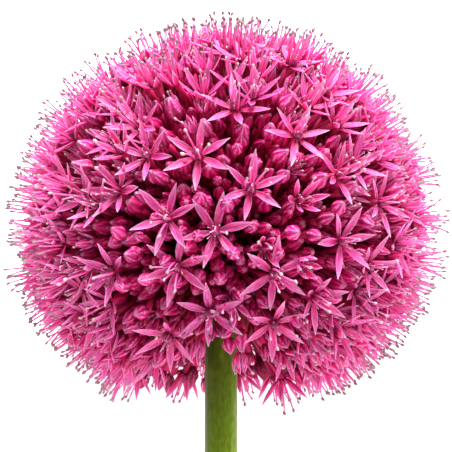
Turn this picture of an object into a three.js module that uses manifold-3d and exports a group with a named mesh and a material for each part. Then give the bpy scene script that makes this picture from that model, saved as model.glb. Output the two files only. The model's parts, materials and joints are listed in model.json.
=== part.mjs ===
// An allium flower head: a ball-shaped umbel of star florets and buds on slim pedicels, on a short cut
// scape, laid on its side on a flat surface. It rests on the tips of its lowest florets and on the
// lower rim of the scape's cut end. Millimetres, +Z up; the scape points towards -Y.
import * as THREE from "three";
import { mergeVertices } from "three/addons/utils/BufferGeometryUtils.js";
import Module from "manifold-3d";

const wasm = await Module();
wasm.setup();

// Driving dimensions. A level is a distance from the centre of the umbel.
const headRadius = 80; // to the stamen tips
const restHeight = 73; // centre of the umbel above the surface; the lowest florets are pressed in
const stamenReach = 10.5; // stamen tips in front of the floret's face
const stamenSpread = 4.4; // stamen tips from the floret's axis
const floretLevel = headRadius - stamenReach;
const tepalLength = 14.6;
const tepalWidth = 6;
const tepalThickness = 0.9;
const hubRadius = 2.4; // where two tepals part
const ovaryRadius = 1.5;
const pedicelRadius = 1.1;
const budLevel = 59;
const budLength = 9.5;
const budWidth = 6.4;
const coreRadius = 43; // the packed inner pedicels, as one ball that the florets stand out of
const pedicelSink = 6; // how deep a pedicel is rooted in that ball

const scapeLength = 155; // centre of the umbel to the cut end
const scapeTopRadius = 5.7;
const scapeCutRadius = 6.1;
const scapeSides = 24;
const scapeOffset = -1.8; // the head has grown a little further to one side of its stem
const seatDepth = 5; // centre of the umbel down to the top of the scape
const seatGap = 0.3; // round the scape where it goes up into the umbel

const floretCount = 86;
const floretLimit = THREE.MathUtils.degToRad(144); // from the top of the umbel
const budSearch = 700; // directions tried for a bud
const budLimit = THREE.MathUtils.degToRad(151);
const budClearance = THREE.MathUtils.degToRad(11.4); // between a bud and its nearest neighbours
const seed = 11;

// The umbel and the cut end both touch the surface, which sets how steeply the scape leans.
const lean =
  Math.asin(restHeight / Math.hypot(scapeLength, scapeCutRadius)) -
  Math.atan(scapeCutRadius / scapeLength);
const flowerToPart = new THREE.Matrix4()
  .makeTranslation(0, 0, restHeight)
  .multiply(new THREE.Matrix4().makeRotationX(lean - Math.PI / 2));

const petalPink = new THREE.MeshStandardMaterial({ color: 0xdb4f96, roughness: 0.55, metalness: 0 });
const stemGreen = new THREE.MeshStandardMaterial({ color: 0x6f8431, roughness: 0.5, metalness: 0 });

// A small seeded generator, so that every build places the florets alike.
let randomState = seed;
function random() {
  randomState = (randomState + 0x6d2b79f5) | 0;
  let t = Math.imul(randomState ^ (randomState >>> 15), 1 | randomState);
  t = (t + Math.imul(t ^ (t >>> 7), 61 | t)) ^ t;
  return ((t ^ (t >>> 14)) >>> 0) / 4294967296;
}
const spread = (size) => (2 * random() - 1) * size;

// A point at an angle and a distance from the floret's axis, at a height along it.
function polar(angle, radius, height) {
  return new THREE.Vector3(radius * Math.cos(angle), radius * Math.sin(angle), height);
}

// Six of the same, half way between the tepals.
function hexagon(radius, height) {
  return [0, 1, 2, 3, 4, 5].map((k) => polar(((k - 0.5) * Math.PI) / 3, radius, height));
}

// Starts a piece along +Z, the umbel's centre at the origin: a three-sided pedicel rooted in the core,
// which flares into a ring of six points.
function onPedicel(pedicelTop, ring) {
  const triangle = (height) => hexagon(pedicelRadius, height).filter((_, k) => k % 2 === 0);
  const points = [...triangle(coreRadius - pedicelSink), ...triangle(pedicelTop), ...ring];
  const faces = [[0, 2, 1]];
  for (let j = 0; j < 3; j++) {
    const next = (j + 1) % 3;
    const [lower, lowerNext, upper, upperNext] = [j, next, 3 + j, 3 + next];
    const [near, middle, far] = [6 + 2 * j, 7 + 2 * j, 6 + 2 * next];
    faces.push([lower, lowerNext, upperNext], [lower, upperNext, upper]);
    faces.push([upper, upperNext, middle], [upper, middle, near], [upperNext, far, middle]);
  }
  return { points, faces };
}

// An open floret: six ridged tepals round a hub, with a stamen in front of each.
function floret(level, size, cup, curl) {
  const { points, faces } = onPedicel(level - 2.2, hexagon(hubRadius, level + 0.3));
  const notches = 6; // the ring between the tepals follows the pedicel's six points
  const inner = points.push(...hexagon(ovaryRadius, level + 1)) - 6;
  const centre = points.push(new THREE.Vector3(0, 0, level + 2.4)) - 1;
  const half = (tepalLength * size) / 2;
  const halfWidth = (tepalWidth * size) / 2;
  const waist = half * Math.cos(cup);
  const waistRise = level + half * Math.sin(cup);
  const tipRadius = waist + half * Math.cos(cup - curl);
  const tipRise = waistRise + half * Math.sin(cup - curl);
  const across = Math.atan2(halfWidth, waist);
  const edge = Math.hypot(waist, halfWidth);

  for (let k = 0; k < 6; k++) {
    const along = (k * Math.PI) / 3;
    const next = (k + 1) % 6;
    const left = points.push(
      polar(along - across, edge, waistRise),
      polar(along + across, edge, waistRise),
      polar(along, tipRadius, tipRise),
      polar(along, waist - tepalThickness * Math.sin(cup), waistRise + tepalThickness),
      polar(along + spread(0.25), stamenSpread + spread(0.8), level + stamenReach - spread(0.5)),
    ) - 5;
    const [right, tip, ridge, stamen] = [left + 1, left + 2, left + 3, left + 4];
    const rim = [notches + k, left, tip, right, notches + next, inner + next, inner + k];
    rim.forEach((p, i) => faces.push([ridge, p, rim[(i + 1) % rim.length]]));
    faces.push([notches + k, right, left], [left, right, tip], [notches + k, notches + next, right]);
    faces.push([inner + k, inner + next, stamen], [inner + next, centre, stamen]);
    faces.push([centre, inner + k, stamen]);
  }
  return { points, faces };
}

// A closed bud: a pointed six-sided spindle.
function bud(level, size) {
  const belly = hexagon((budWidth * size) / 2, level + 0.42 * budLength * size);
  const { points, faces } = onPedicel(level, belly);
  const tip = points.push(new THREE.Vector3(0, 0, level + budLength * size)) - 1;
  for (let k = 0; k < 6; k++) faces.push([6 + k, 6 + ((k + 1) % 6), tip]);
  return { points, faces };
}

// Evenly spread directions from the top of the umbel down to a polar limit, on a golden-angle spiral.
function spiralDirections(count, limit) {
  const goldenAngle = Math.PI * (3 - Math.sqrt(5));
  return Array.from({ length: count }, (_, i) => {
    const height = 1 - ((i + 0.5) / count) * (1 - Math.cos(limit));
    return polar(i * goldenAngle, Math.sqrt(1 - height * height), height);
  });
}

// The buds stand where the florets leave room.
function budDirections(florets) {
  const chosen = [];
  for (const direction of spiralDirections(budSearch, budLimit)) {
    const clear = [...florets, ...chosen].every((other) => other.angleTo(direction) > budClearance);
    if (clear) chosen.push(direction);
  }
  return chosen;
}

// Turns a piece to its direction in the umbel and shortens its pedicel where it would reach below
// the surface.
function placed({ points, faces }, direction) {
  const up = new THREE.Vector3(0, 0, 1);
  const turn = new THREE.Quaternion()
    .setFromUnitVectors(up, direction)
    .multiply(new THREE.Quaternion().setFromAxisAngle(up, spread(Math.PI)));
  const matrix = flowerToPart.clone().multiply(new THREE.Matrix4().makeRotationFromQuaternion(turn));
  points.forEach((p) => p.applyMatrix4(matrix));
  const lowest = Math.min(...points.map((p) => p.z));
  if (lowest < 0) {
    const axis = up.clone().transformDirection(matrix);
    points.slice(3).forEach((p) => p.addScaledVector(axis, -lowest / axis.z));
  }
  return solidFrom(points.flatMap((p) => p.toArray()), faces.flat());
}

function solidFrom(positions, indices) {
  return new wasm.Manifold(
    new wasm.Mesh({
      numProp: 3,
      vertProperties: new Float32Array(positions),
      triVerts: new Uint32Array(indices),
    }),
  );
}

function solidOfGeometry(geometry) {
  geometry.deleteAttribute("normal");
  geometry.deleteAttribute("uv");
  const merged = mergeVertices(geometry, 1e-3);
  return solidFrom(merged.attributes.position.array, merged.index.array);
}

function meshOf(name, solid, material) {
  const { vertProperties, triVerts } = solid.getMesh();
  const geometry = new THREE.BufferGeometry()
    .setAttribute("position", new THREE.BufferAttribute(new Float32Array(vertProperties), 3))
    .setIndex(new THREE.BufferAttribute(new Uint32Array(triVerts), 1));
  const mesh = new THREE.Mesh(geometry, material);
  mesh.name = name;
  return mesh;
}

// The scape: a slim tapered stalk from the cut end up to the middle of the umbel, where the pedicels
// start. A larger one makes its seat in the umbel's core.
function scapeGeometry(extra) {
  const outline = [
    [0, -scapeLength],
    [scapeCutRadius + extra, -scapeLength],
    [(scapeCutRadius + scapeTopRadius) / 2 + extra, -scapeLength / 2],
    [scapeTopRadius + extra, -coreRadius],
    [scapeTopRadius + extra, extra - seatDepth],
    [0, extra - seatDepth],
  ];
  const geometry = new THREE.LatheGeometry(outline.map(([r, z]) => new THREE.Vector2(r, z)), scapeSides);
  return geometry.rotateX(Math.PI / 2).translate(scapeOffset, 0, 0).applyMatrix4(flowerToPart);
}

function umbelSolid() {
  const core = new THREE.IcosahedronGeometry(coreRadius, 2).applyMatrix4(flowerToPart);
  let umbel = solidOfGeometry(core);
  const florets = spiralDirections(floretCount, floretLimit);
  for (const direction of florets) {
    const level = floretLevel + spread(1);
    const made = floret(level, 1 + spread(0.06), 0.12 + spread(0.14), 0.2 + spread(0.2));
    umbel = umbel.add(placed(made, direction));
  }
  for (const direction of budDirections(florets)) {
    umbel = umbel.add(placed(bud(budLevel + spread(2.5), 1 + spread(0.15)), direction));
  }
  return umbel.subtract(solidOfGeometry(scapeGeometry(seatGap)));
}

const flower = new THREE.Group();
flower.add(meshOf("scape", solidOfGeometry(scapeGeometry(0)), stemGreen));
flower.add(meshOf("umbel", umbelSolid(), petalPink));

// The part's origin lies on the surface, under the middle of the whole flower.
const middle = new THREE.Box3().setFromObject(flower).getCenter(new THREE.Vector3());
flower.position.set(-middle.x, -middle.y, 0);

export default flower;
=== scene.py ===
# An allium flower head laid on a pale floor: a ball of star florets, half-open florets and buds on
# thin stalks, and its cut stem. The dictionaries hold millimetres and degrees; the scene is in metres,
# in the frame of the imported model: +Z up, the stem towards -Y.
import json
import math
import random
from functools import partial

import bpy
from mathutils import Matrix, Vector

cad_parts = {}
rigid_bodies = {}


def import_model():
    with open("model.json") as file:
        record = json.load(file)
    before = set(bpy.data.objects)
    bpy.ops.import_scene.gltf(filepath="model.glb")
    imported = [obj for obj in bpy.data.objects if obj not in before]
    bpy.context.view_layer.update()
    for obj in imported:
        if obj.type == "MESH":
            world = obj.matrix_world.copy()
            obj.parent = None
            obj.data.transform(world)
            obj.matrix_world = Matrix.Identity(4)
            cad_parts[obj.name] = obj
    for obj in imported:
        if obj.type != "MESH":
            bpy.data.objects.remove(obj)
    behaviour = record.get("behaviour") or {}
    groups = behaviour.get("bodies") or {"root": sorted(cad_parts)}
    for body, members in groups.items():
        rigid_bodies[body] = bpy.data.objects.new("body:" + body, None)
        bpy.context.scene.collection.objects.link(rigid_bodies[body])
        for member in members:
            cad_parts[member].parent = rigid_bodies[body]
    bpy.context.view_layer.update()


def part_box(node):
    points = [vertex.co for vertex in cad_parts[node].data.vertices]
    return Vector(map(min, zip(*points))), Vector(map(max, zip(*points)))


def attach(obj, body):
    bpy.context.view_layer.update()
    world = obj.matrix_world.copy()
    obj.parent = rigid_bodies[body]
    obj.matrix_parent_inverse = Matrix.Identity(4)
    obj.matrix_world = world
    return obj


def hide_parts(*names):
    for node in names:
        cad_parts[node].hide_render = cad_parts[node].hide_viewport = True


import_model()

millimetre = 0.001
goldenAngle = math.pi * (3 - math.sqrt(5))
scene = bpy.context.scene

# the flower as the solids lay it: its own +Z is the top of the head, its -Y is the side that faces up
flower = {
    "restHeight": 73.0,  # centre of the head above the floor
    "scapeLength": 155.0,  # centre of the head to the cut
    "cutRadius": 6.1,
    "scapeOffset": -1.8,  # the head has grown a little further to one side
}


def flowerPlace():
    # turns and moves the flower's own frame to where the scape and the umbel lie
    low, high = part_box("scape")
    length = flower["scapeLength"]
    radius = flower["cutRadius"]
    lean = math.asin(flower["restHeight"] / math.hypot(length, radius)) - math.atan(radius / length)
    reach = length * math.cos(lean) + radius * math.sin(lean)
    side = (low.x + high.x) / 2 - flower["scapeOffset"] * millimetre
    centre = Vector((side, low.y + reach * millimetre, flower["restHeight"] * millimetre))
    return Matrix.Translation(centre) @ Matrix.Rotation(lean - math.pi / 2, 4, "X")


place = flowerPlace()
headCentre = place.translation
headAxis = (place.to_3x3() @ Vector((0, 0, 1))).normalized()
headFront = (place.to_3x3() @ Vector((0, -1, 0))).normalized()


def linear(hexColour):
    # the sRGB curve
    channels = [int(hexColour[i:i + 2], 16) / 255 for i in (1, 3, 5)]
    return [c / 12.92 if c <= 0.04045 else ((c + 0.055) / 1.055) ** 2.4 for c in channels] + [1.0]


def setSockets(tree, node, sockets):
    # sockets: inputs by name or place, or a list of the first ones; each gets a value, another node's
    # output, or that node itself for its first output
    for key, value in sockets.items() if isinstance(sockets, dict) else enumerate(sockets):
        if isinstance(value, bpy.types.Node):
            value = next(output for output in value.outputs if output.enabled)
        if isinstance(value, bpy.types.NodeSocket):
            tree.links.new(value, node.inputs[key])
        else:
            node.inputs[key].default_value = value


def addNode(tree, kind, sockets=(), stops=(), **settings):
    # stops: a ramp's places and colours, as sRGB hex or as a grey from 0 to 1
    node = tree.nodes.new(kind)
    for name, value in settings.items():
        setattr(node, name, value)
    setSockets(tree, node, sockets)
    if stops:
        node.color_ramp.interpolation = "EASE"
        elements = node.color_ramp.elements
        while len(elements) < len(stops):
            elements.new(0.5)
        for element, (position, colour) in zip(elements, stops):
            element.position = position
            element.color = linear(colour) if isinstance(colour, str) else (colour, colour, colour, 1)
    return node


def newSkin(name):
    # a material, with the functions that add a node to it and that set its surface
    material = bpy.data.materials.new(name)
    material.use_nodes = True
    tree = material.node_tree
    return material, partial(addNode, tree), partial(setSockets, tree, tree.nodes["Principled BSDF"])


def meshOf(name, points, faces, values=None):
    # values: attribute name to one number or vector for each point
    mesh = bpy.data.meshes.new(name)
    mesh.from_pydata([tuple(p) for p in points], [], faces)
    for key, numbers in (values or {}).items():
        isVector = not isinstance(numbers[0], (int, float))
        attribute = mesh.attributes.new(key, "FLOAT_VECTOR" if isVector else "FLOAT", "POINT")
        for slot, number in zip(attribute.data, numbers):
            if isVector:
                slot.vector = number
            else:
                slot.value = number
    mesh.validate()
    mesh.shade_smooth()
    mesh.update()
    return mesh


def loft(rings):
    # a closed skin over rings of the same number of points, outwards for rings that turn left going up
    count = len(rings[0])
    points = [p for ring in rings for p in ring]
    faces = []
    for r in range(len(rings) - 1):
        for i in range(count):
            j = (i + 1) % count
            faces.append((r * count + i, r * count + j, (r + 1) * count + j, (r + 1) * count + i))
    faces.append(tuple(reversed(range(count))))
    faces.append(tuple((len(rings) - 1) * count + i for i in range(count)))
    return points, faces


def angles(sides):
    return [2 * math.pi * i / sides for i in range(sides)]


def circle(radius, height, sides):
    return [Vector((radius * math.cos(a), radius * math.sin(a), height)) for a in angles(sides)]


def shapeCollection(name, meshes):
    # the shapes that the tree picks from, in order of their names
    collection = bpy.data.collections.new(name)
    scene.collection.children.link(collection)
    for i, mesh in enumerate(meshes):
        collection.objects.link(bpy.data.objects.new(f"{name}{i:02d}", mesh))
    return collection


# where the florets and buds stand
kinds = ("star", "cup", "bud", "smallBud")
layout = {
    "florets": 470,
    "floretLimit": 147.0,  # from the top of the head
    "layerLimit": 146.0,
    "levels": {"star": 68.0, "cup": 66.0, "bud": 63.5},  # foot of the tepals from the centre
    "levelSpread": 1.5,
    "closedDrop": 4.0,  # how much lower a star would stand if it were closed
    "starFrom": 0.6,  # a front floret that is open further than this is a star
    "drawIn": 0.11,  # how much nearer the centre the lowest stand, and from where to where
    "drawInFrom": 102.0,
    "drawInTo": 150.0,
    "jitter": 2.8,  # degrees off the even spiral
    "layerJitter": 5.0,
    "tilt": 10.0,  # a floret's own axis off the line from the centre
    "frontTilt": 4.0,
    "frontClearance": {"star": 8.5, "cup": 7.0, "bud": 5.5},  # degrees from a front floret to any other
    "frontBudLevel": 63.0,
    "sizes": {
        "frontFloret": (0.98, 1.06), "frontBud": (1.02, 1.25), "floret": (0.9, 1.08), "bud": (0.85, 1.18),
    },
    "layerOpen": (0.05, 0.6),
    "stemGapPolar": 133.0,  # nothing hangs before the stem below this
    "stemGapWidth": 11.0,
    "tipReach": {"star": 10.0, "cup": 10.0, "bud": 9.0, "smallBud": 9.0},  # in front of the foot
    "tipSpread": {"star": 4.5, "cup": 4.5, "bud": 2.0, "smallBud": 2.0},  # to the side
    "floorGap": 0.5,
    "leastDown": 0.05,  # what points down less than this never meets the floor
    "pressSoftness": 0.8,  # how gently the tips that reach the floor bend along it
    "seed": 21,
}
# how the florets age away from the ones that opened last, in degrees from them
ages = {
    "pollen": 1.1,  # how covered the anthers are there, before it is held to the next value
    "pollenMost": 0.5,
    "pollenFade": 72.0,  # over which they go from covered to bare
    "pollenSpread": (-0.25, 0.2),
    "youngTo": 62.0,  # no floret is young beyond this
    "youngFade": 14.0,
}
# the florets that show best, in the middle of the front: degrees to the right of it, degrees above the
# widest part of the head, degrees that the tepals are turned, and how open
frontFlorets = [
    (3, 29, 42, 0.9), (-29, 25, 10, 0.75), (22, 20, 15, 0.95), (64, 19, 40, 0.8), (-24, 14, 35, 0.8),
    (-8, 13, 24, 0.92), (35, 9, 40, 0.85), (-56, 8, 21, 0.8), (-33, 4, 50, 0.8), (7, 3, 24, 0.97),
    (52, 3, 45, 0.85), (23, 1, 10, 0.45), (-17, -5, 9, 0.92), (-3, -9, 9, 0.92), (36, -10, 20, 0.85),
    (12, -14, 0, 0.35), (50, -16, 25, 0.75), (-15, -19, 16, 0.92), (-38, -19, 25, 0.8),
    (15, -21, 31, 0.97), (32, -28, 35, 0.7), (-6, -34, 30, 0.97), (19, -38, 31, 0.85),
    (-25, -43, 20, 0.8), (40, -44, 20, 0.5),
]
# the fat buds among them, as degrees to the right and above
frontBuds = [
    (21, 33), (-17, 28), (5, 22), (-48, 20), (15, 14), (28, 7), (-18, 7), (-47, -5), (-33, -9), (19, -9),
    (26, -9), (-2, -23), (-25, -23), (4, -28), (13, -31), (-22, -31), (-32, -34), (10, -37), (-16, -39),
]
# those that hang before the top of the stem: kind, degrees to the right and above, how open, and size
stemTop = [
    ("cup", 8, -54, 0.1, 1.0), ("cup", -13, -48, 0.12, 0.95), ("bud", 1, -47, 0.0, 0.95),
    ("bud", -8, -42, 0.0, 1.15), ("bud", 7, -43, 0.0, 1.15), ("bud", 2, -37, 0.0, 1.1),
]
# directions from the centre: to the florets that opened last, the top of the head, the stem and the back
newest = (0.0, -0.95, -0.3)
top = (0.0, 0.0, 1.0)
underside = (0.0, 0.0, -1.0)
back = (0.0, 1.0, 0.0)
# the first zone that holds a floret sets it: degrees round a centre, the share that is open stars and
# the least degrees between them, the share of the rest that is half open (the others are fat buds),
# how far both are open, and how far out they stand; the last zone goes all the way round
zones = [
    {"centre": newest, "reach": 40.01, "stars": 0.0, "starGap": 0.0, "cups": 0.1,
     "starOpen": (0.78, 0.98), "cupOpen": (0.1, 0.7), "out": 0.0},
    {"centre": underside, "reach": 57.01, "stars": 0.16, "starGap": 0.0, "cups": 0.78,
     "starOpen": (0.5, 0.8), "cupOpen": (0.3, 0.75), "out": 0.0},
    {"centre": top, "reach": 180.01, "stars": 0.64, "starGap": 8.5, "cups": 0.8,
     "starOpen": (0.5, 0.98), "cupOpen": (0.25, 0.75), "out": 0.5},
]
# smaller florets and buds in the gaps between the outer ones and in the depth behind them: the kind and
# the centre, then between which degrees from it, how many, how far out and how evenly, their least and
# greatest size, and how many degrees clear of the outer florets
layers = [
    ("cup", newest, (38.0, 104.0), 170, 62.5, 3.0, (0.65, 0.9), 3.6),
    ("cup", underside, (40.0, 62.0), 24, 61.0, 3.0, (0.75, 1.0), 3.5),
    ("bud", (0.0, -1.0, 0.0), (52.0, 128.0), 400, 64.5, 2.5, (0.7, 1.05), 3.5),
    ("bud", top, (0.0, 142.0), 440, 62.0, 3.5, (0.62, 1.08), 3.9),
    ("bud", newest, (0.0, 44.0), 44, 59.5, 4.5, (0.7, 1.08), 0.0),
    ("smallBud", newest, (0.0, 56.0), 260, 56.0, 4.5, (0.75, 1.2), 0.0),
    ("smallBud", back, (5.0, 115.0), 200, 58.0, 4.0, (1.15, 1.5), 0.0),
    ("smallBud", back, (48.0, 122.0), 190, 65.0, 2.5, (0.85, 1.2), 2.8),
    ("smallBud", top, (0.0, 142.0), 480, 53.5, 3.5, (0.7, 1.1), 0.0),
    ("smallBud", top, (0.0, 142.0), 300, 44.0, 4.0, (0.6, 0.95), 0.0),
]


def spiralDirection(i, count, around, between):
    # the i-th of count directions spread evenly between two angles from a centre
    high, low = (math.cos(math.radians(angle)) for angle in between)
    z = high - (i + 0.5) / count * (high - low)
    ring = math.sqrt(1 - z * z)
    direction = Vector((ring * math.cos(i * goldenAngle), ring * math.sin(i * goldenAngle), z))
    direction.rotate(Vector((0, 0, 1)).rotation_difference(Vector(around)))
    return direction


def frontDirection(right, up):
    # degrees to the right and above, from the middle of the front
    right, up = math.radians(right), math.radians(up)
    return Vector((math.sin(right) * math.cos(up), -math.cos(right) * math.cos(up), math.sin(up)))


def shaken(direction, degrees, dice):
    side = Vector([dice.gauss(0, 1) for _ in range(3)]).cross(direction).normalized()
    return (direction + side * math.tan(math.radians(abs(dice.gauss(0, degrees / 2))))).normalized()


def isWithin(direction, centre, degrees):
    return direction.dot(centre) > math.cos(math.radians(degrees))


def beforeStem(direction, level):
    # the gap in front of the stem, where it comes out of the head
    low = math.degrees(math.acos(direction.z)) > layout["stemGapPolar"]
    return low and direction.y < 0 and abs(direction.x) * level < layout["stemGapWidth"]


def drawnIn(direction, level):
    # the head draws in towards the stem
    polar = math.degrees(math.acos(direction.z))
    t = min(1.0, max(0.0, (polar - layout["drawInFrom"]) / (layout["drawInTo"] - layout["drawInFrom"])))
    return level * (1 - layout["drawIn"] * t)


def liftedLevel(direction, level, kind):
    # how far out a floret may stand before its tip is in the floor
    down = -(place.to_3x3() @ direction).z
    if down <= layout["leastDown"]:
        return level
    edge = layout["tipSpread"][kind] * math.sqrt(1 - down * down)
    room = (flower["restHeight"] - layout["floorGap"] - edge) / down - layout["tipReach"][kind]
    return min(level, room)


def stationRecord(dice, kind, direction, level, openness, size, tilt=layout["tilt"]):
    # the newest florets still carry their pollen; the oldest anthers are bare and grey
    fromNewest = math.degrees(direction.angle(Vector(newest)))
    pollen = min(ages["pollenMost"], max(0.0, ages["pollen"] - fromNewest / ages["pollenFade"]))
    return {
        "kind": kind, "direction": direction, "level": level, "open": openness, "size": size,
        "spin": dice.uniform(0, 2 * math.pi), "tint": dice.random(), "axis": shaken(direction, tilt, dice),
        "pollen": pollen + dice.uniform(*ages["pollenSpread"]),
        "young": min(1.0, max(0.0, (ages["youngTo"] - fromNewest) / ages["youngFade"])),
    }


def frontStations(dice):
    stations = []
    for right, up, turned, openness in frontFlorets:
        direction = frontDirection(right, up)
        kind = "star" if openness > layout["starFrom"] else "cup"
        level = drawnIn(direction, layout["levels"][kind] - layout["closedDrop"] * (1 - openness))
        size = dice.uniform(*layout["sizes"]["frontFloret"])
        record = stationRecord(dice, kind, direction, level, openness, size, layout["frontTilt"])
        record["spin"] = math.radians(turned)
        stations.append(record)
    for right, up in frontBuds:
        direction = frontDirection(right, up)
        level = drawnIn(direction, layout["frontBudLevel"] + dice.uniform(-1, 1) * layout["levelSpread"])
        size = dice.uniform(*layout["sizes"]["frontBud"])
        stations.append(stationRecord(dice, "bud", direction, level, 0.0, size))
    return stations


def outerStations(dice, front):
    # the front ones, and the rest of the outer florets on a shaken spiral
    stations = list(front)
    for i in range(layout["florets"]):
        even = spiralDirection(i, layout["florets"], top, (0.0, layout["floretLimit"]))
        direction = shaken(even, layout["jitter"], dice)
        spread = dice.uniform(-1, 1) * layout["levelSpread"]
        zone = next(z for z in zones if isWithin(direction, Vector(z["centre"]).normalized(), z["reach"]))
        stars = [s for s in stations if s["kind"] == "star"]
        crowded = any(isWithin(direction, s["direction"], zone["starGap"]) for s in stars)
        if dice.random() < zone["stars"] and not crowded:
            kind, openness = "star", dice.uniform(*zone["starOpen"])
        elif dice.random() < zone["cups"]:
            kind, openness = "cup", dice.uniform(*zone["cupOpen"])
        else:
            kind, openness = "bud", 0.0
        level = layout["levels"][kind] + zone["out"] + spread
        if kind == "star":
            level -= layout["closedDrop"] * (1 - openness)
        level = drawnIn(direction, level)
        size = dice.uniform(*layout["sizes"]["bud" if kind == "bud" else "floret"])
        blocked = any(isWithin(direction, s["direction"], layout["frontClearance"][kind]) for s in front)
        if not blocked and not beforeStem(direction, level):
            stations.append(stationRecord(dice, kind, direction, level, openness, size))
    return stations


def layerStations(dice, outer):
    stations = []
    for kind, around, between, count, layerLevel, spread, sizes, clearance in layers:
        for i in range(count):
            direction = shaken(spiralDirection(i, count, around, between), layout["layerJitter"], dice)
            level = drawnIn(direction, layerLevel + dice.uniform(-1, 1) * spread)
            crowded = any(isWithin(direction, s["direction"], clearance) for s in outer)
            tooLow = not isWithin(direction, Vector(top), layout["layerLimit"])
            if crowded or tooLow or beforeStem(direction, level):
                continue
            size = dice.uniform(*sizes)
            openness = dice.uniform(*layout["layerOpen"]) if kind == "cup" else 0.0
            stations.append(stationRecord(dice, kind, direction, level, openness, size))
    return stations


def makeStations():
    dice = random.Random(layout["seed"])
    outer = outerStations(dice, frontStations(dice))
    stations = outer + layerStations(dice, outer)
    for kind, right, up, openness, size in stemTop:
        direction = frontDirection(right, up)
        level = drawnIn(direction, layout["levels"][kind] - layout["closedDrop"] * openness)
        stations.append(stationRecord(dice, kind, direction, level, openness, size, layout["frontTilt"]))
    for kind in kinds:
        print(f"{kind} stations: {sum(s['kind'] == kind for s in stations)}")
    return stations


def stationObject(name, stations):
    # a loose point for each station, with what the tree reads from it
    turn = place.to_3x3()
    points = []
    for s in stations:
        level = liftedLevel(s["direction"], s["level"], s["kind"])
        points.append(headCentre + turn @ s["direction"] * level * millimetre)
    values = {"axis": [turn @ s["axis"] for s in stations]}
    for key in ("open", "spin", "size", "tint", "pollen", "young"):
        values[key] = [s[key] for s in stations]
    station = bpy.data.objects.new(name, meshOf(name, points, [], values))
    scene.collection.objects.link(station)
    return station


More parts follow.
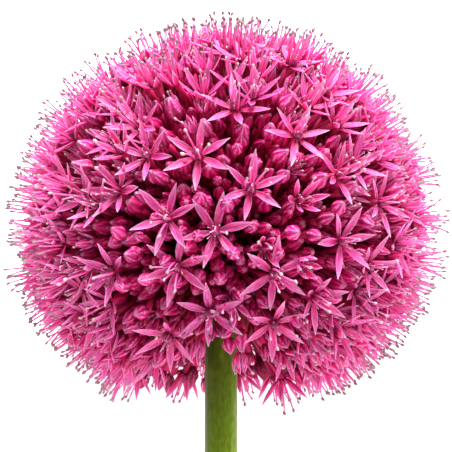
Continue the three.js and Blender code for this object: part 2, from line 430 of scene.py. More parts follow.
def growTree():
    # grows a shape, or a ring of them, from every station
    tree = bpy.data.node_groups.new("growOnStations", "GeometryNodeTree")
    sockets = {
        "Geometry": "Geometry", "Shapes": "Collection", "Shape Count": "Int", "Count": "Int",
        "Ring Radius": "Float", "Height": "Float", "Closed Angle": "Float", "Open Angle": "Float",
        "Angle Spread": "Float", "Turn": "Float", "Turn Spread": "Float", "Closed Size": "Float",
        "Size Spread": "Float", "Young Loss": "Float", "Young Grown": "Float", "Shape By Open": "Float",
        "Seed": "Int", "Material": "Material",
    }
    for name, kind in sockets.items():
        tree.interface.new_socket(name=name, in_out="INPUT", socket_type="NodeSocket" + kind)
    tree.interface.new_socket(name="Geometry", in_out="OUTPUT", socket_type="NodeSocketGeometry")
    add = partial(addNode, tree)
    given = add("NodeGroupInput").outputs
    openness, spin, size, young = (
        add("GeometryNodeInputNamedAttribute", {"Name": name}, data_type="FLOAT")
        for name in ("open", "spin", "size", "young"))
    axis = add("GeometryNodeInputNamedAttribute", {"Name": "axis"}, data_type="FLOAT_VECTOR")
    copies = add("GeometryNodeDuplicateElements", {"Geometry": given["Geometry"], "Amount": given["Count"]},
                 domain="POINT").outputs

    # for each copy an even draw from -1 to 1 for each thing that varies, and some from 0 to 1
    index = add("GeometryNodeInputIndex")
    draws = {}
    for i, name in enumerate(("turn", "pitch", "size", "shape", "own", "growth"), 1):
        seed = add("ShaderNodeMath", [given["Seed"], i], operation="ADD")
        draws[name] = add("FunctionNodeRandomValue", {2: -1.0, 3: 1.0, "ID": index, "Seed": seed},
                          data_type="FLOAT")
    for name in ("shape", "own", "growth"):
        draws[name] = add("ShaderNodeMath", [draws[name], 0.5, 0.5], operation="MULTIPLY_ADD")

    # round the station's axis
    share = add("ShaderNodeMath", [copies["Duplicate Index"], given["Count"]], operation="DIVIDE")
    even = add("ShaderNodeMath", [share, 2 * math.pi, spin], operation="MULTIPLY_ADD")
    off = add("ShaderNodeMath", [draws["turn"], given["Turn Spread"], given["Turn"]],
              operation="MULTIPLY_ADD")
    around = add("ShaderNodeMath", [even, off], operation="ADD")
    axisTurn = add("FunctionNodeAlignRotationToVector", {"Vector": axis}, axis="Z")
    spun = add("FunctionNodeAxisAngleToRotation", {"Axis": (0, 0, 1), "Angle": around})
    ringTurn = add("FunctionNodeRotateRotation", {"Rotation": axisTurn, "Rotate By": spun},
                   rotation_space="LOCAL")
    offset = add("ShaderNodeCombineXYZ", {"X": given["Ring Radius"], "Z": given["Height"]})
    sized = add("ShaderNodeVectorMath", {0: offset, "Scale": size}, operation="SCALE")
    foot = add("FunctionNodeRotateVector", {"Vector": sized, "Rotation": ringTurn})
    moved = add("GeometryNodeSetPosition", {"Geometry": copies["Geometry"], "Offset": foot})

    # out from the axis, further the more it is open
    closed, closedSize = given["Closed Angle"], given["Closed Size"]
    angleGap = add("ShaderNodeMath", [given["Open Angle"], closed], operation="SUBTRACT")
    lean = add("ShaderNodeMath", [openness, angleGap, closed], operation="MULTIPLY_ADD")
    pitch = add("ShaderNodeMath", [draws["pitch"], given["Angle Spread"], lean], operation="MULTIPLY_ADD")
    pitched = add("FunctionNodeAxisAngleToRotation", {"Axis": (0, 1, 0), "Angle": pitch})
    turned = add("FunctionNodeRotateRotation", {"Rotation": ringTurn, "Rotate By": pitched},
                 rotation_space="LOCAL")

    # its size; of a young floret only some stamens have reached their length
    sizeGap = add("ShaderNodeMath", [1.0, closedSize], operation="SUBTRACT")
    opened = add("ShaderNodeMath", [openness, sizeGap, closedSize], operation="MULTIPLY_ADD")
    ownSize = add("ShaderNodeMath", [opened, size], operation="MULTIPLY")
    varied = add("ShaderNodeMath", [draws["size"], given["Size Spread"], 1.0], operation="MULTIPLY_ADD")
    full = add("ShaderNodeMath", [ownSize, varied], operation="MULTIPLY")
    short = add("ShaderNodeMath", [given["Young Grown"], draws["growth"]], operation="LESS_THAN")
    youngShort = add("ShaderNodeMath", [short, young], operation="MULTIPLY")
    loss = add("ShaderNodeMath", [youngShort, given["Young Loss"]], operation="MULTIPLY")
    left = add("ShaderNodeMath", [1.0, loss], operation="SUBTRACT")
    scale = add("ShaderNodeMath", [full, left], operation="MULTIPLY")

    # its shape, picked by how open it is, by chance or by some of both
    openShare = add("ShaderNodeMath", [openness, given["Shape By Open"]], operation="MULTIPLY")
    byOpen = add("ShaderNodeMath", [openShare, given["Shape Count"]], operation="MULTIPLY")
    rest = add("ShaderNodeMath", [1.0, given["Shape By Open"]], operation="SUBTRACT")
    restCount = add("ShaderNodeMath", [rest, given["Shape Count"]], operation="MULTIPLY")
    byChance = add("ShaderNodeMath", [draws["shape"], restCount], operation="MULTIPLY")
    both = add("ShaderNodeMath", [byOpen, byChance], operation="ADD")
    last = add("ShaderNodeMath", [given["Shape Count"], 0.5], operation="SUBTRACT")
    held = add("ShaderNodeMath", [both, last], operation="MINIMUM")
    pick = add("ShaderNodeMath", [held], operation="FLOOR")
    shapes = add("GeometryNodeCollectionInfo",
                 {"Collection": given["Shapes"], "Separate Children": True, "Reset Children": True})
    grown = add("GeometryNodeInstanceOnPoints", {
        "Points": moved, "Instance": shapes, "Pick Instance": True, "Instance Index": pick,
        "Rotation": turned, "Scale": scale,
    })
    marked = add("GeometryNodeStoreNamedAttribute", {"Geometry": grown, "Name": "own", "Value": draws["own"]},
                 data_type="FLOAT", domain="INSTANCE")
    real = add("GeometryNodeRealizeInstances", {"Geometry": marked})

    # soft tips press against the floor and never go through it
    position = add("GeometryNodeInputPosition")
    split = add("ShaderNodeSeparateXYZ", [position]).outputs
    softness = (layout["pressSoftness"] * millimetre) ** 2
    square = add("ShaderNodeMath", [split["Z"], split["Z"], softness], operation="MULTIPLY_ADD")
    root = add("ShaderNodeMath", [square], operation="SQRT")
    double = add("ShaderNodeMath", [split["Z"], root], operation="ADD")
    height = add("ShaderNodeMath", [double, 0.5], operation="MULTIPLY")
    pressed = add("ShaderNodeCombineXYZ", {"X": split["X"], "Y": split["Y"], "Z": height})
    lying = add("GeometryNodeSetPosition", {"Geometry": real, "Position": pressed})
    finish = add("GeometryNodeSetMaterial", {"Geometry": lying, "Material": given["Material"]})
    add("NodeGroupOutput", {"Geometry": finish})
    return tree


growOnStations = growTree()


def growPiece(name, shapes, stations, skin, values, creaseAngle=None):
    # runs the tree on a copy of the stations and keeps the result as a plain mesh at the origin; values
    # are the tree's other inputs, in metres and radians, and those that aren't given are 0
    values = {**values, "Shapes": shapeCollection(name + "Shape", shapes), "Shape Count": len(shapes),
              "Material": skin}
    grower = bpy.data.objects.new(name + "Grower", stations.data)
    scene.collection.objects.link(grower)
    modifier = grower.modifiers.new("grow", "NODES")
    modifier.node_group = growOnStations
    for item in growOnStations.interface.items_tree:
        if item.in_out == "INPUT" and item.name in values:
            modifier[item.identifier] = values[item.name]
    evaluated = grower.evaluated_get(bpy.context.evaluated_depsgraph_get())
    mesh = bpy.data.meshes.new_from_object(evaluated)
    mesh.name = name
    bpy.data.objects.remove(grower)
    if creaseAngle:
        mesh.set_sharp_from_angle(angle=math.radians(creaseAngle))
    piece = bpy.data.objects.new(name, mesh)
    scene.collection.objects.link(piece)
    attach(piece, "root")
    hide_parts("umbel")
    print(f"{name}: {sum(len(f.vertices) - 2 for f in mesh.polygons)} triangles")


tepal = {
    "length": 11.6,
    "width": 2.78,
    "thickness": 0.34,
    "channel": 0.55,  # how far the edges stand up from the midrib
    "footWidth": 0.42,  # as a share of the full width, as the next one
    "tipWidth": 0.06,
    "thinnest": 0.35,  # as a share of the full thickness
    "widestAt": 0.42,
    "tipPower": 0.92,
    "edgeThinning": 0.6,
    "steps": 7,
    # bend from foot to tip in degrees, from cupped to turned back, and a twist
    "bends": [(-38, 0), (-30, 8), (-24, -10), (-18, 6), (-12, -8), (-7, 12), (-1, -6)],
    "bendGain": 1.6,  # how much of the bend is gone through, and how much of it comes before the foot
    "bendStart": 0.35,
    # the blade pales towards the tip, and the rim and streaks are paler still: partly the tepal's own colour,
    # partly painted highlight
    "blade": [(0.0, "#A80C4E"), (0.14, "#CE1470"), (0.36, "#E83C98"), (0.6, "#E65EA8"), (0.88, "#EA86BA"),
              (0.98, "#F8BCD8")],
    "midrib": "#C0166A",
    "rim": "#F28CC6",
    "streakAndHighlight": "#F898CC",
    "streakWidth": 0.3475,  # the real rows of cells are finer; these are as coarse as shows
    "streakLength": 58 / 11,
}


def tepalSkin():
    # satin petal skin of long thin cells: soft pink blade, deeper foot and midrib; the pale rim, streaks and
    # tip are partly its own colour and partly painted highlight
    material, add, setSurface = newSkin("petalSkinSatinPink")
    along, across, own, tint, young = (
        add("ShaderNodeAttribute", attribute_name=name).outputs["Fac"]
        for name in ("along", "across", "own", "tint", "young"))
    blade = add("ShaderNodeValToRGB", {"Fac": along}, tepal["blade"])
    fromMidrib = add("ShaderNodeMath", [across], operation="ABSOLUTE")
    rib = add("ShaderNodeValToRGB", {"Fac": fromMidrib}, [(0.0, 0.3), (0.14, 0.15), (0.4, 0.0)])
    rim = add("ShaderNodeValToRGB", {"Fac": fromMidrib}, [(0.7, 0.0), (1.0, 0.25)])
    ribbed = add("ShaderNodeMix", {0: rib, 6: blade, 7: linear(tepal["midrib"])}, data_type="RGBA")
    rimmed = add("ShaderNodeMix", {0: rim, 6: ribbed, 7: linear(tepal["rim"])}, data_type="RGBA")
    widths = tepal["width"] / (2 * tepal["streakWidth"])
    lengths = tepal["length"] / tepal["streakLength"]
    lengthways = add("ShaderNodeCombineXYZ", {
        "X": add("ShaderNodeMath", [across, widths], operation="MULTIPLY"),
        "Y": add("ShaderNodeMath", [along, lengths], operation="MULTIPLY"),
        "Z": add("ShaderNodeMath", [own, 60.0], operation="MULTIPLY"),  # no two tepals alike
    })
    veins = add("ShaderNodeTexNoise", {"Vector": lengthways, "Scale": 1.0, "Detail": 3.0, "Roughness": 0.6})
    value = add("ShaderNodeMapRange", [veins.outputs["Fac"], 0.34, 0.66, 0.62, 1.15])
    aged = add("ShaderNodeMath", [tint, 0.26, 1.05], operation="MULTIPLY_ADD")  # paler on some florets
    # young florets, those at the front of the head, are painted deeper: partly their own deeper colour,
    # partly painted shade on the middle of the front
    youngDeepenedAndShaded = add("ShaderNodeMath", [young, -0.22, aged], operation="MULTIPLY_ADD")
    shade = add("ShaderNodeMath", [value, youngDeepenedAndShaded], operation="MULTIPLY")
    hue = add("ShaderNodeMath", [tint, 0.018, 0.491], operation="MULTIPLY_ADD")
    shaded = add("ShaderNodeHueSaturation", {"Color": rimmed, "Value": shade, "Hue": hue})
    # pale streaks along the rows of cells: partly their own colour, partly painted highlight
    second = add("ShaderNodeSeparateColor", [veins.outputs["Color"]]).outputs["Green"]
    streakAndHighlight = add("ShaderNodeValToRGB", {"Fac": second}, [(0.52, 0.0), (0.66, 0.7)])
    streakedAndHighlighted = add("ShaderNodeMix", {0: streakAndHighlight, 6: shaded, 7: linear(tepal["streakAndHighlight"])}, data_type="RGBA")
    cells = add("ShaderNodeBump", {
        "Height": veins.outputs["Fac"], "Strength": 0.5, "Distance": 0.12 * millimetre})
    setSurface({
        "Base Color": streakedAndHighlighted, "Normal": cells, "Roughness": 0.52, "Specular IOR Level": 0.36,
        "Subsurface Weight": 0.8, "Subsurface Radius": (1.0, 0.25, 0.5),
        "Subsurface Scale": 0.9 * millimetre,
    })
    return material


def tepalMesh(name, bend, twist):
    # one tepal standing on its foot, its face towards the floret's axis
    length, width = tepal["length"] * millimetre, tepal["width"] * millimetre
    face = (-1.0, -0.5, 0.0, 0.5, 1.0)  # shares of half the width, and back under them
    under = (0.5, 0.0, -0.5)
    spine, side = Vector((0, 0, 0)), Vector((0, 1, 0))
    rings, along, across = [], [], []
    for i in range(tepal["steps"]):
        t = i / (tepal["steps"] - 1)
        angle = math.radians(bend) * t * tepal["bendGain"] - math.radians(bend) * tepal["bendStart"]
        forward = Vector((math.sin(angle), 0, math.cos(angle)))
        if i:
            spine = spine + forward * length / (tepal["steps"] - 1)
        outward = Vector((math.cos(angle), 0, -math.sin(angle)))
        turn = Matrix.Rotation(math.radians(twist) * t, 3, forward)
        if t < tepal["widestAt"]:
            grown = math.sin(math.pi / 2 * t / tepal["widestAt"])
            share = tepal["footWidth"] + (1 - tepal["footWidth"]) * grown
        else:
            narrowed = math.cos(math.pi / 2 * (t - tepal["widestAt"]) / (1 - tepal["widestAt"]))
            share = narrowed ** tepal["tipPower"]
        half = width / 2 * max(share, tepal["tipWidth"])
        depth = tepal["channel"] * millimetre * share
        thick = tepal["thickness"] * millimetre * (tepal["thinnest"] + (1 - tepal["thinnest"]) * share)
        ring = [spine + turn @ (side * u * half - outward * depth * u * u) for u in face]
        for u in under:
            behind = outward * thick * (1 - u * u * tepal["edgeThinning"])
            ring.append(spine + turn @ (side * u * half - outward * (depth * u * u) + behind))
        rings.append(ring)
        along += [t] * len(ring)
        across += face + under
    points, faces = loft(rings)
    return meshOf(name, points, faces, {"along": along, "across": across})


def makeTepals(name, stations, skin):
    shapes = [tepalMesh(f"{name}{i}", *bend) for i, bend in enumerate(tepal["bends"])]
    growPiece(name, shapes, stations, skin, {
        "Count": 6, "Ring Radius": 1.6 * millimetre, "Closed Angle": math.radians(14),
        "Open Angle": math.radians(80), "Angle Spread": math.radians(8), "Turn Spread": math.radians(6),
        "Closed Size": 0.72, "Size Spread": 0.09, "Shape By Open": 0.75, "Seed": 11,
    }, creaseAngle=60)


stamen = {
    "length": 11.6,
    "footRadius": 0.48,
    "tipRadius": 0.27,
    "taperPower": 0.6,
    "sides": 4,
    "steps": 6,
    "bends": [-16, -6, 6, 16],  # degrees from foot to tip
    "bendGain": 1.5,
    "bendStart": 0.4,
    "openAngle": 11,
    "angleSpread": 8,
    "thread": [(0.0, "#CC1664"), (0.25, "#F44CA4"), (0.7, "#EA70B2"), (1.0, "#E488BA")],
    "antherLength": 1.6,
    "antherWidth": 1.02,
    "antherSides": 6,
    "antherForm": [(-0.5, 0.4), (-0.22, 0.97), (0.22, 0.97), (0.5, 0.4)],  # place along it and width
    "antherTips": [8, 25, -15, 40],
    "pollen": [(0.0, "#94807F"), (0.28, "#A8868F"), (0.6, "#D4AEB8"), (1.0, "#E8D0CC")],  # bare to covered
}


def filamentSkin():
    # smooth moist thread: pink, deeper where it leaves the floret
    material, add, setSurface = newSkin("stamenThreadPink")
    along = add("ShaderNodeAttribute", attribute_name="along").outputs["Fac"]
    colour = add("ShaderNodeValToRGB", {"Fac": along}, stamen["thread"])
    setSurface({"Base Color": colour, "Roughness": 0.45, "Specular IOR Level": 0.2})
    return material


def antherSkin():
    # dull pollen sac: pinkish grey, with near-white pollen on the newest
    material, add, setSurface = newSkin("antherPollenGrey")
    own = add("ShaderNodeAttribute", attribute_name="own").outputs["Fac"]
    pollen = add("ShaderNodeAttribute", attribute_name="pollen").outputs["Fac"]
    ripe = add("ShaderNodeMath", [own, 0.3, pollen], operation="MULTIPLY_ADD")
    colour = add("ShaderNodeValToRGB", {"Fac": ripe}, stamen["pollen"])
    setSurface({"Base Color": colour, "Roughness": 0.8})
    return material


def filamentSpine(bend):
    # shares of the length, points and directions up the thread
    steps = stamen["steps"]
    spine, out = Vector((0, 0, 0)), []
    for i in range(steps):
        t = i / (steps - 1)
        angle = math.radians(bend) * (t * stamen["bendGain"] - stamen["bendStart"])
        forward = Vector((math.sin(angle), 0, math.cos(angle)))
        if i:
            spine = spine + forward * stamen["length"] * millimetre / (steps - 1)
        out.append((t, spine, forward))
    return out


def filamentMesh(name, bend):
    rings, along = [], []
    for t, spine, forward in filamentSpine(bend):
        thinned = (stamen["tipRadius"] - stamen["footRadius"]) * t ** stamen["taperPower"]
        radius = (stamen["footRadius"] + thinned) * millimetre
        across = Vector((forward.z, 0, -forward.x))
        ring = []
        for a in angles(stamen["sides"]):
            ring.append(spine + (across * math.cos(a) + Vector((0, 1, 0)) * math.sin(a)) * radius)
        rings.append(ring)
        along += [t] * len(ring)
    points, faces = loft(rings)
    return meshOf(name, points, faces, {"along": along})


def antherMesh(name, bend, tip):
    # a short bean on the end of the thread, tipped to a side
    spine = filamentSpine(bend)[-1][1]
    length, width = stamen["antherLength"] * millimetre, stamen["antherWidth"] * millimetre
    turn = Matrix.Rotation(math.radians(tip), 3, "X") @ Matrix.Rotation(math.radians(bend), 3, "Y")
    rings = []
    for height, share in stamen["antherForm"]:
        ring = circle(width / 2 * share, height * length, stamen["antherSides"])
        rings.append([spine + turn @ point for point in ring])
    points, faces = loft(rings)
    return meshOf(name, points, faces)


def makeStamens(stations, threadSkin, sacSkin):
    # both pieces get the same values, so that every anther sits on its thread
    threads, sacs = [], []
    for i, (bend, tip) in enumerate(zip(stamen["bends"], stamen["antherTips"])):
        threads.append(filamentMesh(f"filament{i}", bend))
        sacs.append(antherMesh(f"anther{i}", bend, tip))
    for name, shapes, skin in (("filaments", threads, threadSkin), ("anthers", sacs, sacSkin)):
        growPiece(name, shapes, stations, skin, {
            "Count": 6, "Ring Radius": 1.5 * millimetre, "Height": 0.4 * millimetre,
            "Closed Angle": math.radians(6), "Open Angle": math.radians(stamen["openAngle"]),
            "Angle Spread": math.radians(stamen["angleSpread"]), "Turn": math.radians(30),
            "Turn Spread": math.radians(14), "Closed Size": 0.92, "Size Spread": 0.08,
            "Young Loss": 0.62, "Young Grown": 0.28, "Seed": 41,
        })


ovary = {
    "radius": 1.9,
    "height": 2.8,
    "form": [(0.55, -0.1), (0.95, 0.18), (1.0, 0.45), (0.82, 0.75), (0.42, 0.97)],  # width and height
    "lobe": 0.13,
    "sides": 12,
    "styleRadius": 0.3,
    "styleLength": 5.2,
    "styleSteps": 3,
    "styleTaper": 0.4,
    "styleLeans": [0.0, 0.15, 0.3],
    "bodyColours": 0.5,  # the share of the colours that the ovary takes, and where the style's begin
    "styleColours": 0.55,
    "colours": [(0.0, "#4F0A28"), (0.4, "#86164C"), (0.55, "#B94A80"), (1.0, "#E9A6C8")],
}


def ovarySkin():
    # moist dark three-lobed ovary with a pale style
    material, add, setSurface = newSkin("ovaryMoistPurple")
    along = add("ShaderNodeAttribute", attribute_name="along").outputs["Fac"]
    colour = add("ShaderNodeValToRGB", {"Fac": along}, ovary["colours"])
    setSurface({"Base Color": colour, "Roughness": 0.2})
    return material


def ovaryMesh(name, styleLean):
    sides, rings, along = ovary["sides"], [], []
    for i, (share, height) in enumerate(ovary["form"]):
        ring = []
        for a in angles(sides):
            radius = ovary["radius"] * share * (1 + ovary["lobe"] * math.cos(3 * a)) * millimetre
            up = height * ovary["height"] * millimetre
            ring.append(Vector((radius * math.cos(a), radius * math.sin(a), up)))
        rings.append(ring)
        along += [i * ovary["bodyColours"] / len(ovary["form"])] * sides
    for i in range(ovary["styleSteps"]):
        t = i / (ovary["styleSteps"] - 1)
        lean = Vector((styleLean * t * t, 0, 0)) * ovary["styleLength"] * millimetre
        height = (ovary["height"] + ovary["styleLength"] * t) * millimetre
        radius = ovary["styleRadius"] * (1 - ovary["styleTaper"] * t) * millimetre
        rings.append([point + lean for point in circle(radius, height, sides)])
        along += [ovary["styleColours"] + (1 - ovary["styleColours"]) * t] * sides
    points, faces = loft(rings)
    return meshOf(name, points, faces, {"along": along})


def makeOvaries(stations, skin):
    shapes = [ovaryMesh(f"ovary{i}", lean) for i, lean in enumerate(ovary["styleLeans"])]
    growPiece("ovaries", shapes, stations, skin, {
        "Count": 1, "Height": 0.1 * millimetre, "Angle Spread": math.radians(5), "Turn Spread": 3.0,
        "Closed Size": 0.85, "Size Spread": 0.08, "Seed": 71,
    })


bud = {
    "length": 8.2,
    "width": 4.9,
    "footWidth": 0.25,  # as a share of the full width, as the next one
    "tipWidth": 0.07,
    "tipPower": 0.9,
    "rib": 0.06,
    "partsFrom": 0.75,  # where the tips of the tepals begin to part
    "lip": 0.3,  # how far they part, and how much further at a rib
    "lipRib": 0.25,
    "plainCrest": 0.3,  # how full a bud without ribs is, as a share of a rib
    # fullness, where it is widest, and how far the tip parts
    "shapes": [(1.0, 0.42, 0.1), (0.74, 0.45, 0.2), (1.08, 0.45, 0.4), (0.92, 0.36, 0.25), (0.8, 0.5, 0.6)],
    # the fat ones have two sides for each tepal, so that their ribs show
    "outer": {
        "skin": "budSkinDeepPink", "steps": 9, "sides": 12, "ribbed": True,
        "body": [(0.0, "#720430"), (0.25, "#B40C56"), (0.65, "#E22488"), (1.0, "#F05AAA")],
        # the pale ribs are partly their own colour and partly painted highlight
        "grooves": "#8E043C", "ribs": "#FFB0D8",
    },
    # the small ones deep in the head: the same skin in darker colours, partly their own deeper crimson and
    # partly painted shade for their depth
    "inner": {
        "skin": "innerBudSkinCrimson", "steps": 6, "sides": 8, "ribbed": False,
        "body": [(0.0, "#560222"), (0.25, "#9A0644"), (0.65, "#D41068"), (1.0, "#E42684")],
        "grooves": "#64022C", "ribs": "#F0509A",
    },
    # the pale tip, partly its own colour and partly painted highlight
    "tip": "#FFA8D0",
    "swirlSize": 50 / 21,
    "grainSize": 10 / 13,  # the real cells are finer; this is as coarse as shows
}


def budSkin(form):
    # satin bud skin: deep foot, pink body, crimson lines where the six tepals meet, and pale streaks between
    # and a pale tip that are partly its own colour and partly painted highlight
    material, add, setSurface = newSkin(form["skin"])
    along, tint = (add("ShaderNodeAttribute", attribute_name=key).outputs["Fac"] for key in ("along", "tint"))
    around = add("ShaderNodeAttribute", attribute_name="around").outputs["Vector"]
    split = add("ShaderNodeSeparateXYZ", [around]).outputs
    spot = add("ShaderNodeTexCoord").outputs["Object"]
    swirl = add("ShaderNodeTexNoise", {
        "Vector": spot, "Scale": 1 / (bud["swirlSize"] * millimetre), "Detail": 2.0})
    grain = add("ShaderNodeTexNoise", {
        "Vector": spot, "Scale": 1 / (bud["grainSize"] * millimetre), "Detail": 2.0})
    angle = add("ShaderNodeMath", [split["Y"], split["X"]], operation="ARCTAN2")
    sixfold = add("ShaderNodeMath", [angle, 6.0], operation="MULTIPLY")
    bent = add("ShaderNodeMath", [swirl, 5.0, sixfold], operation="MULTIPLY_ADD")
    wave = add("ShaderNodeMath", [bent], operation="COSINE")
    trough = add("ShaderNodeMath", [wave, -1.0], operation="MULTIPLY")
    body = add("ShaderNodeValToRGB", {"Fac": along}, form["body"])
    groove = add("ShaderNodeValToRGB", {"Fac": trough}, [(0.5, 0.0), (0.97, 0.7)])
    grooved = add("ShaderNodeMix", {0: groove, 6: body, 7: linear(form["grooves"])}, data_type="RGBA")
    # pale streaks on the crests: partly their own colour, partly painted highlight
    crest = add("ShaderNodeValToRGB", {"Fac": wave}, [(0.0, 0.0), (0.9, 0.64)])
    broken = add("ShaderNodeValToRGB", {"Fac": grain}, [(0.42, 0.15), (0.62, 1.0)])
    middle = add("ShaderNodeValToRGB", {"Fac": along}, [(0.15, 0.0), (0.4, 1.0), (0.75, 1.0), (1.0, 0.4)])
    patch = add("ShaderNodeMath", [crest, broken], operation="MULTIPLY")
    streakAndHighlight = add("ShaderNodeMath", [patch, middle], operation="MULTIPLY")
    ribbed = add("ShaderNodeMix", {0: streakAndHighlight, 6: grooved, 7: linear(form["ribs"])}, data_type="RGBA")
    aged = add("ShaderNodeMath", [tint, 0.4, 0.79], operation="MULTIPLY_ADD")
    shaded = add("ShaderNodeHueSaturation", {"Color": ribbed, "Value": aged})
    # pale tip: partly its own colour, partly painted highlight
    tip = add("ShaderNodeValToRGB", {"Fac": along}, [(0.88, 0.0), (0.99, 0.6)])
    tipped = add("ShaderNodeMix", {0: tip, 6: shaded, 7: linear(bud["tip"])}, data_type="RGBA")
    cells = add("ShaderNodeBump", {"Height": grain, "Strength": 0.4, "Distance": 0.1 * millimetre})
    folds = add("ShaderNodeBump", {
        "Height": wave, "Strength": 0.8, "Distance": 0.25 * millimetre, "Normal": cells})
    setSurface({"Base Color": tipped, "Normal": folds, "Roughness": 0.36, "Specular IOR Level": 0.3})
    return material


def budMesh(name, form, fullness, widest, parting):
    rings, along, around = [], [], []
    for i in range(form["steps"]):
        t = i / (form["steps"] - 1)
        if t < widest:
            share = bud["footWidth"] + (1 - bud["footWidth"]) * math.sin(math.pi / 2 * t / widest)
        else:
            share = math.cos(math.pi / 2 * (t - widest) / (1 - widest)) ** bud["tipPower"]
        share = max(share, bud["tipWidth"])
        parted = parting * max(0.0, t - bud["partsFrom"]) / (1 - bud["partsFrom"])
        ring = []
        for a in angles(form["sides"]):
            crest = math.cos(6 * a) if form["ribbed"] else bud["plainCrest"]
            flare = parted * (bud["lip"] + bud["lipRib"] * crest)
            ribbed = share * (1 + bud["rib"] * crest * math.sin(math.pi * t))
            radius = bud["width"] / 2 * fullness * (ribbed + flare)
            across = Vector((math.cos(a), math.sin(a), 0))
            ring.append(across * radius * millimetre + Vector((0, 0, bud["length"] * t * millimetre)))
            around.append(tuple(across))
        rings.append(ring)
        along += [t] * len(ring)
    points, faces = loft(rings)
    return meshOf(name, points, faces, {"along": along, "around": around})


def makeBuds(name, stations, form):
    shapes = [budMesh(f"{name}{i}", form, *shape) for i, shape in enumerate(bud["shapes"])]
    growPiece(name, shapes, stations, budSkin(form), {
        "Count": 1, "Angle Spread": math.radians(22), "Turn Spread": 3.0, "Closed Size": 1.0,
        "Size Spread": 0.1, "Seed": 91,
    })


pedicel = {
    "radius": 0.58,
    "flareRadius": 1.4,
    "flareFrom": 0.93,  # as a share of its length, as the next one
    "start": 0.08,
    "rootDepth": 2.0,  # where they all come from, below the centre of the head
    "sides": 5,
    "steps": 7,
    "bow": 0.13,
    "turnPower": 6,  # how late it turns to the floret's own axis
    "seed": 5,
    "colours": [(0.0, "#6E4E24"), (0.45, "#7C2A2A"), (0.85, "#A81448"), (1.0, "#C41C5E")],
}


def pedicelSkin():
    # smooth thin stalk: brown near the stem, crimson under the floret
    material, add, setSurface = newSkin("stalkBrownToCrimson")
    along, own = (add("ShaderNodeAttribute", attribute_name=name).outputs["Fac"] for name in ("along", "own"))
    colour = add("ShaderNodeValToRGB", {"Fac": along}, pedicel["colours"])
    value = add("ShaderNodeMath", [own, 0.6, 0.7], operation="MULTIPLY_ADD")
    shaded = add("ShaderNodeHueSaturation", {"Color": colour, "Value": value})
    setSurface({"Base Color": shaded, "Roughness": 0.5, "Specular IOR Level": 0.2})
    return material


def pedicelRings(tip, axis, dice):
    # one bowed stalk from the root to the foot of a floret, as shares of its length and rings
    root = headCentre - headAxis * pedicel["rootDepth"] * millimetre
    span = tip - root
    straight = span.normalized()
    bow = span.orthogonal().normalized()
    bow.rotate(Matrix.Rotation(dice.uniform(0, 2 * math.pi), 3, straight))
    bow *= span.length * pedicel["bow"] * dice.uniform(0.2, 1)
    shares, rings = [], []
    for i in range(pedicel["steps"]):
        t = pedicel["start"] + (1 - pedicel["start"]) * i / (pedicel["steps"] - 1)
        centre = root + span * t + bow * math.sin(math.pi * t)
        turned = t ** pedicel["turnPower"]
        forward = (straight * (1 - turned) + axis * turned).normalized()
        flare = max(0.0, (t - pedicel["flareFrom"]) / (1 - pedicel["flareFrom"])) ** 2
        radius = (pedicel["radius"] + (pedicel["flareRadius"] - pedicel["radius"]) * flare) * millimetre
        one = forward.orthogonal().normalized()
        two = forward.cross(one)
        ring = [centre + (one * math.cos(a) + two * math.sin(a)) * radius for a in angles(pedicel["sides"])]
        rings.append(ring)
        shares += [t] * len(ring)
    return shares, rings


def makePedicels(stationPieces, skin):
    dice = random.Random(pedicel["seed"])
    points, faces, along, own = [], [], [], []
    for station in stationPieces:
        for vertex in station.data.vertices:
            axis = Vector(station.data.attributes["axis"].data[vertex.index].vector)
            shares, rings = pedicelRings(vertex.co, axis, dice)
            tubePoints, tubeFaces = loft(rings)
            faces += [tuple(len(points) + i for i in face) for face in tubeFaces]
            points += tubePoints
            along += shares
            own += [dice.random()] * len(shares)
    piece = bpy.data.objects.new("pedicels", meshOf("pedicels", points, faces, {"along": along, "own": own}))
    piece.data.materials.append(skin)
    scene.collection.objects.link(piece)
    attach(piece, "root")
    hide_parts("umbel")
    print(f"pedicels: {len(points)} points")


scape = {
    "topRadius": 5.7,
    "seatDepth": 5.0,  # its top below the centre of the head
    "sides": 60,
    "steps": 44,
    "ribs": 15,
    "ribDepth": 0.07,
    "ribTurn": 0.6,  # how far the ribs wander round it, in radians
    "wander": 0.07,  # how uneven its girth is
    "creaseAngle": 50.0,
    # darker up its length towards the head: painted shade cast by the head, then brown where it meets the
    # head
    "greenWithPaintedShade": [(0.0, "#7A962A"), (0.5, "#688210"), (0.64, "#587010"), (0.75, "#46560E"), (0.84, "#38200F")],
    "bloom": "#96B23A",
    "streakWidth": 10 / 9,  # the real ribs are finer; these are as coarse as shows
    "patchWidth": 50 / 13,
    "lengthways": 0.4,  # both are drawn out along it
    # painted shade and painted light: one side of the stalk is painted darker and the other lighter, as the
    # light falls on it
    "paintedShade": (-4.5, 0.74),  # across it, and how light it is there
    "paintedLight": (5.5, 1.3),
    "flesh": [(0.0, "#DDE3B8"), (0.7, "#C9D79A"), (0.9, "#8FAA55"), (1.0, "#6F8636")],  # middle to rim
    "pithSize": 2 / 3,
}


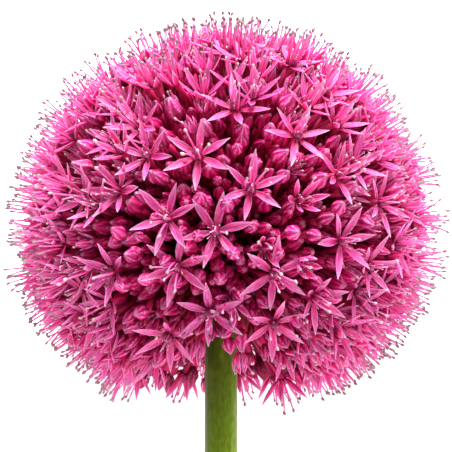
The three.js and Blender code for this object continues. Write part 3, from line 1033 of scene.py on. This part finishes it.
def scapeSkin():
    # waxy green stalk skin: fine lengthways ribs, paler bloom in patches, painted shade darkening it towards
    # the head, brown where it meets the head, and one side painted darker and the other lighter as light
    # falls on it
    material, add, setSurface = newSkin("scapeWaxyGreen")
    coords = add("ShaderNodeAttribute", attribute_name="stemPlace").outputs["Vector"]
    along = add("ShaderNodeAttribute", attribute_name="along").outputs["Fac"]
    drawnOut = add("ShaderNodeMapping", {"Vector": coords, "Scale": (1.0, 1.0, scape["lengthways"])})
    streaks = add("ShaderNodeTexNoise", {
        "Vector": drawnOut, "Scale": 1 / (scape["streakWidth"] * millimetre), "Detail": 4.0})
    patches = add("ShaderNodeTexNoise", {
        "Vector": drawnOut, "Scale": 1 / (scape["patchWidth"] * millimetre), "Detail": 2.0})
    # the green darkens towards the head with painted shade from it
    greenWithPaintedShade = add("ShaderNodeValToRGB", {"Fac": along}, scape["greenWithPaintedShade"])
    bloom = add("ShaderNodeMapRange", [patches, 0.45, 0.75, 0.0, 0.26])
    bloomed = add("ShaderNodeMix", {0: bloom, 6: greenWithPaintedShade, 7: linear(scape["bloom"])}, data_type="RGBA")
    value = add("ShaderNodeMapRange", [streaks, 0.3, 0.7, 0.68, 1.2])
    # painted shade on one side of the stalk and painted light on the other, as the light falls on it
    across = add("ShaderNodeSeparateXYZ", [coords]).outputs["X"]
    (paintedShadeSide, paintedShade), (paintedLightSide, paintedLight) = scape["paintedShade"], scape["paintedLight"]
    light = add("ShaderNodeMapRange", {
        0: across, 1: paintedShadeSide * millimetre, 2: paintedLightSide * millimetre, 3: paintedShade, 4: paintedLight})
    lit = add("ShaderNodeMath", [value, light], operation="MULTIPLY")
    shaded = add("ShaderNodeHueSaturation", {"Color": bloomed, "Value": lit})
    ribs = add("ShaderNodeBump", {"Height": streaks, "Strength": 0.5, "Distance": 0.15 * millimetre})
    setSurface({
        "Base Color": shaded, "Normal": ribs, "Roughness": 0.45, "Specular IOR Level": 0.15,
        "Sheen Weight": 0.3, "Sheen Roughness": 0.35,  # the dusty bloom that shows along both sides
    })
    return material


def cutFlesh():
    # wet cut end: pale green rim round spongy near-white pith
    material, add, setSurface = newSkin("scapeCutFlesh")
    coords = add("ShaderNodeAttribute", attribute_name="stemPlace").outputs["Vector"]
    flat = add("ShaderNodeVectorMath", [coords, (1, 1, 0)], operation="MULTIPLY")
    reach = add("ShaderNodeVectorMath", [flat], operation="LENGTH")
    ring = add("ShaderNodeMath", [reach, flower["cutRadius"] * millimetre], operation="DIVIDE")
    colour = add("ShaderNodeValToRGB", {"Fac": ring}, scape["flesh"])
    pith = add("ShaderNodeTexVoronoi", {"Vector": flat, "Scale": 1 / (scape["pithSize"] * millimetre)})
    value = add("ShaderNodeMapRange", [pith, 0.0, 0.8, 0.85, 1.08])
    shaded = add("ShaderNodeHueSaturation", {"Color": colour, "Value": value})
    dents = add("ShaderNodeBump", {"Height": pith, "Strength": 0.5, "Distance": 0.2 * millimetre})
    setSurface({"Base Color": shaded, "Normal": dents, "Roughness": 0.35})
    return material


def makeScape(skin, flesh):
    # from the cut up to its top inside the head
    length = flower["scapeLength"]
    rings, along, coords = [], [], []
    for i in range(scape["steps"]):
        t = i / (scape["steps"] - 1)
        below = length + (scape["seatDepth"] - length) * t  # below the centre of the head
        base = flower["cutRadius"] + (scape["topRadius"] - flower["cutRadius"]) * t
        ring = []
        for a in angles(scape["sides"]):
            rib = math.cos(scape["ribs"] * a + scape["ribTurn"] * math.sin(3 * t)) * scape["ribDepth"]
            hollow = scape["wander"] * (1 + math.sin(7 * t + 2 * a))
            radius = base + rib - scape["ribDepth"] - hollow
            local = Vector((radius * math.cos(a), radius * math.sin(a), -below)) * millimetre
            ring.append(place @ (local + Vector((flower["scapeOffset"] * millimetre, 0, 0))))
            coords.append(tuple(local))
        rings.append(ring)
        along += [t] * len(ring)
    points, faces = loft(rings)
    mesh = meshOf("scape", points, faces, {"along": along, "stemPlace": coords})
    mesh.materials.append(skin)
    mesh.materials.append(flesh)
    mesh.polygons[len(faces) - 2].material_index = 1  # the cut
    mesh.set_sharp_from_angle(angle=math.radians(scape["creaseAngle"]))
    piece = bpy.data.objects.new("scapeStalk", mesh)
    scene.collection.objects.link(piece)
    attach(piece, "root")
    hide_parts("scape")
    print(f"scape: {len(points)} points")


studio = {
    "floorReach": 3000.0,
    "floorColour": "#F4F4F2",
    "floorGlow": 0.85,  # a light table, so that the shadow stays faint
    "worldColour": "#F4F5F6",
    "worldStrength": 0.64,
    # place from the centre of the head, size across, and watts
    "softboxes": {"topSoftbox": ((80, 590, 800), 450, 23.5), "lowSoftbox": ((450, -900, 260), 600, 4.0)},
    "cameraAngle": 10.0,  # the camera is this far below the head's equator
    "cameraDistance": 800.0,
    "viewWidth": 164.6,  # across the head's centre
    "headBelowMiddle": 2.8,
}


def makeStage():
    reach = studio["floorReach"] * millimetre
    corners = [(x * reach, y * reach, 0.0) for x, y in ((-1, -1), (1, -1), (1, 1), (-1, 1))]
    mesh = meshOf("floor", corners, [(0, 1, 2, 3)])
    floor = bpy.data.objects.new("floor", mesh)
    material, _, setSurface = newSkin("paleStudioPaper")
    setSurface({
        "Base Color": linear(studio["floorColour"]), "Roughness": 0.9, "Emission Color": linear("#FFFFFF"),
        "Emission Strength": studio["floorGlow"],
    })
    mesh.materials.append(material)
    scene.collection.objects.link(floor)


def makeLight():
    world = bpy.data.worlds.new("paleStudio")
    world.use_nodes = True
    setSockets(world.node_tree, world.node_tree.nodes["Background"], {
        "Color": linear(studio["worldColour"]), "Strength": studio["worldStrength"]})
    scene.world = world
    for name, (position, size, power) in studio["softboxes"].items():
        light = bpy.data.lights.new(name, "AREA")
        light.shape = "DISK"
        light.size = size * millimetre
        light.energy = power
        lamp = bpy.data.objects.new(name, light)
        lamp.location = headCentre + Vector([c * millimetre for c in position])
        lamp.rotation_euler = (headCentre - lamp.location).to_track_quat("-Z", "Y").to_euler()
        scene.collection.objects.link(lamp)


def makeCamera():
    camera = bpy.data.cameras.new("camera")
    camera.sensor_width = 36.0
    camera.lens = camera.sensor_width * studio["cameraDistance"] / studio["viewWidth"]
    camera.clip_start = 0.01
    low = math.radians(studio["cameraAngle"])
    towards = headFront * math.cos(low) - headAxis * math.sin(low)
    up = headAxis * math.cos(low) + headFront * math.sin(low)
    middle = headCentre + up * studio["headBelowMiddle"] * millimetre
    eye = bpy.data.objects.new("camera", camera)
    eye.location = middle + towards * (studio["cameraDistance"] * millimetre)
    eye.rotation_euler = (-towards).to_track_quat("-Z", "Y").to_euler()
    scene.collection.objects.link(eye)
    scene.camera = eye
    scene.view_settings.view_transform = "Standard"


stations = makeStations()
byKind = {kind: [s for s in stations if s["kind"] == kind] for kind in kinds}
helpers = {kind: stationObject(kind + "Stations", group) for kind, group in byKind.items()}
helpers["open"] = stationObject("openStations", byKind["star"] + byKind["cup"])
petalSkin = tepalSkin()
makeTepals("starTepals", helpers["star"], petalSkin)
makeTepals("cupTepals", helpers["cup"], petalSkin)
makeStamens(helpers["open"], filamentSkin(), antherSkin())
makeOvaries(helpers["open"], ovarySkin())
makeBuds("buds", helpers["bud"], bud["outer"])
makeBuds("smallBuds", helpers["smallBud"], bud["inner"])
makePedicels([helpers["open"], helpers["bud"], helpers["smallBud"]], pedicelSkin())
makeScape(scapeSkin(), cutFlesh())

# the shapes and stations have done their work
for helper in helpers.values():
    bpy.data.objects.remove(helper)
for collection in [c for c in bpy.data.collections if "Shape" in c.name]:
    for shape in list(collection.objects):
        bpy.data.objects.remove(shape)
    bpy.data.collections.remove(collection)

makeStage()
makeLight()
makeCamera()
print("floor, light and camera are in place")
